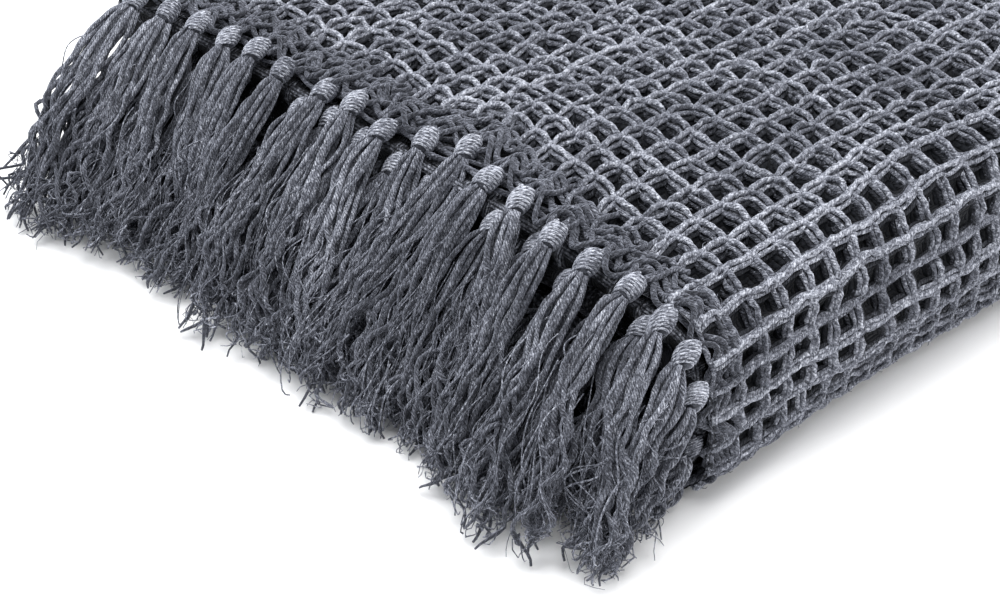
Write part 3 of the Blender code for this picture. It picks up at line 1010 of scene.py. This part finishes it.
# ---- loose yarns of the fringed edge
def edge_net():
    """Slack wefts swagging between the knots, with the warps gathered into every knot."""
    rng = np.random.default_rng(61)
    bm = new_mesh()
    gathered, loops = [], []
    n = 22
    t = np.linspace(0, 1, n)[:, None]
    for i in range(UPPERS):
        y = TASSEL_PITCH * (i + 0.60)
        knot = on_edge(-4.6, y, 79.4)
        for off in (-1, 0, 1):
            start = cloth_point(rng.uniform(0, 9), S_TOP - (y + off * 8 + rng.uniform(-2, 2)),
                                rng.uniform(-1.0, 1.6))
            end = knot + np.array([2.5, off * 2.0, rng.uniform(-1.0, 1.4)])
            middle = (start + end) / 2 + np.array(
                [rng.uniform(-3, 3), rng.uniform(-4, 4), rng.uniform(-1.0, 2.5)])
            path = (1 - t) ** 2 * start + 2 * t * (1 - t) * middle + t ** 2 * end
            phase = rng.uniform(0, ROUND, 3)
            gathered.append(path + 1.2 * np.sin(np.pi * t) * np.concatenate(
                [np.sin(t * 6 + phase[0]), np.sin(t * 7 + phase[1]),
                 0.6 * np.cos(t * 8 + phase[2])], 1))
        centre = cloth_point(rng.uniform(-7, 1), S_TOP - (y + rng.uniform(5, 12)),
                             rng.uniform(1.0, 2.0))
        size, tilt, spin = rng.uniform(2.6, 4.0), rng.uniform(-0.7, 0.7), rng.uniform(0, ROUND)
        q = np.linspace(0, rng.uniform(3.6, 5.6), n) + spin
        loops.append(centre + size * np.stack([np.cos(q), np.sin(q) * 0.8,
                                               tilt * np.sin(q + 1) * 0.6], -1))
    wefts = []
    y = np.linspace(S_TOP - S_WRAP + 4, RUN_WIDTH + OVERHANG - 2, 680)
    swag = 0.5 - 0.5 * np.cos(2 * np.pi * (y / TASSEL_PITCH - 0.60))
    for k in range(6):  # three rows of two
        row, twin = divmod(k, 2)
        at = -9.5 + 4.3 * row + 1.9 * twin + rng.uniform(-0.4, 0.4)
        deep = (5.6, 4.2, 2.6)[row] * (1 + 0.55 * soft_noise(y, 3.0 * k, 70 + k, 34.0))
        u = at - swag * deep + 1.3 * soft_noise(y, 9.0 * k, 80 + k, 13.0) + 1.2
        h = 1.2 - swag * (3.4, 2.2, 1.2)[row] - 0.6 * twin
        wefts.append(cloth_point(u, S_TOP - y, h + 1.1 * soft_noise(y, 5.0 * k, 90 + k, 11.0)))
    add_tubes(bm, np.array(gathered), 0.98, 0, 6)
    add_tubes(bm, np.array(loops), 0.90, 0, 6, 200)
    add_tubes(bm, np.array(wefts), 1.02, 0, 6, 400)
    return bm


def inner_net():
    """Plain netted yarns of the throw's other end, just below the first."""
    rng = np.random.default_rng(62)
    bm = new_mesh()
    rows = []
    s = np.linspace(0, S_END, 700)
    for k in range(5):
        x = 5.5 + 2.2 * k
        wander = rng.uniform(-0.6, 0.6) + 0.8 * np.sin(s / 5.3 + k)
        y, z = crosswise(s, INNER_T + wander)
        rows.append(settle(np.stack([x + 1.8 * np.sin(s / 5.0 + 2 * k), y, z], -1)))
    add_tubes(bm, np.array(rows), 0.95, 0, 4)
    return bm


edge_outer = piece("edge_net_outer", edge_net(), [LOOSE])
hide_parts("edge_yarns_outer")
# the inner net takes the darker copy of the edge yarn: painted shade
edge_inner = piece("edge_net_inner", inner_net(), [SHADY_NET])
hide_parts("edge_yarns_inner")


# ---- hidden layers at the open sides
LEFT_FOLD = 15.7  # run of the fold at the fringed end


def left_folds():
    """The fold of the middle layers at the fringed end, along the whole crosswise path."""
    bm = new_mesh()

    def point(p, q):
        s, angle = q * S_END, np.pi * (1.5 - p)
        a, b = p * LEFT_FOLD / CELL, s / CELL
        r = INNER_T + HALF + 0.3 * (pit_height(a, b) + 0.9)
        x, t = INNER_T + HALF + r * np.cos(angle), -PITCH + r * np.sin(angle)
        y, z = crosswise(s, t)
        return settle(np.stack([x, y, z], -1)), np.stack([a, b], -1)

    add_grid(bm, 12, 560, point)
    bmesh.ops.recalc_face_normals(bm, faces=bm.faces)
    face_out(bm, (-1, 0, 0))
    return bm


folds_left = cloth_piece("cloth_left_fold_ends", left_folds())


ROLL = 0.35  # share of a selvedge's half width that is rolled round its edge


def selvedges():
    """Rolled selvedge of each of the four layers in the two packets that end at the back."""
    bm = new_mesh()
    cords = []
    for at_end in (False, True):
        for t in (OUTER_T, INNER_T, -INNER_T, -OUTER_T):

            def point(p, q, t=t, at_end=at_end):
                u = q * RUN_LENGTH
                away = np.abs(p - 0.5) * 2
                rolled = np.minimum(np.pi / 2, away / ROLL * np.pi / 2)
                thick = np.where(p < 0.5, 1, -1) * np.sin(rolled) * (HALF - 0.2)
                inward = (16.0 * np.maximum(away - ROLL, 0) / (1 - ROLL)
                          + HALF * (1 - np.cos(rolled)) - 0.5
                          + 0.8 * soft_noise(u, t + 0 * u, 44, 25.0))
                rib = 0.35 * np.sin(u * 2 * np.pi / CELL + t) + 0.25 * np.sin(u * 2.6)
                y, z = crosswise(S_END - inward if at_end else inward, t + thick * (1 + 0.1 * rib))
                places = settle(np.stack([BAND + u, y + 0.8 * rib, z], -1))
                return places, np.stack([u / CELL, p * 3], -1)

            add_grid(bm, 14, 160, point)
            u = np.linspace(0, RUN_LENGTH, 220)
            for k in (-1, 0, 1):
                s = 0.6 + 0.35 * np.sin(u / 4.0 + k * 2) + 0.3 * abs(k)
                y, z = crosswise(S_END - s if at_end else s,
                                 t + 1.35 * k + 0.3 * np.sin(u / 3.1 + k))
                cords.append(settle(np.stack([BAND + u, y, z], -1)))
    bmesh.ops.recalc_face_normals(bm, faces=bm.faces)
    add_tubes(bm, np.array(cords), 1.0, 1, 6)
    return bm


selvedge = cloth_piece("cloth_selvedges", selvedges(), [PITS, RIDGE])

yarns["cloth_top"] += [edge_outer, edge_inner, *tassels]

# ---- stage, light and camera
floor_mat = bpy.data.materials.new("pale_floor")
floor_mat.use_nodes = True
floor_shader = floor_mat.node_tree.nodes["Principled BSDF"]
floor_shader.inputs["Base Color"].default_value = (0.90, 0.90, 0.905, 1)
floor_shader.inputs["Roughness"].default_value = 0.65
bm = bmesh.new()
bmesh.ops.create_grid(bm, x_segments=1, y_segments=1, size=6.0)
floor_mesh = bpy.data.meshes.new("floor")
bm.to_mesh(floor_mesh)
bm.free()
floor_mesh.materials.append(floor_mat)
floor = place("floor", floor_mesh)


def point_along(obj, way):
    obj.rotation_euler = Vector(way).to_track_quat("-Z", "Y").to_euler()


def soft_box(name, at, aim, size, power, colour=(1, 1, 1)):
    light = bpy.data.lights.new(name, "AREA")
    light.shape, light.size, light.energy, light.color = "SQUARE", size, power, colour
    obj = place(name, light)
    obj.location = at
    point_along(obj, Vector(aim) - Vector(at))


soft_box("overhead_soft_box", (-0.15, -0.10, 1.4), (0, 0, 0.03), 1.3, 30.0)
soft_box("side_soft_box", (-1.2, 0.5, 0.9), (0, 0, 0.04), 0.8, 9.0, (0.96, 0.98, 1.0))
soft_box("front_soft_box", (0.9, -1.5, 0.8), (0.1, 0, 0.04), 1.2, 18.5, (1.0, 0.99, 0.97))
world = bpy.data.worlds.new("studio")
world.use_nodes = True
world.node_tree.nodes["Background"].inputs[0].default_value = (0.95, 0.97, 1.0, 1)
world.node_tree.nodes["Background"].inputs[1].default_value = 0.50
bpy.context.scene.world = world
bpy.context.scene.view_settings.view_transform = "Standard"

camera_data = bpy.data.cameras.new("camera")
camera_data.lens, camera_data.sensor_width = 79.2, 36.0
camera_data.clip_start, camera_data.clip_end = 0.01, 50
camera = place("camera", camera_data)
camera.location = (np.array([-420.6, -388.8, 448.5]) + SHIFT) * MM
yaw, pitch = 0.73857, 0.5835  # radians: turned from y towards x, and tipped down
point_along(camera, (math.sin(yaw) * math.cos(pitch), math.cos(yaw) * math.cos(pitch),
                     -math.sin(pitch)))
bpy.context.scene.camera = camera
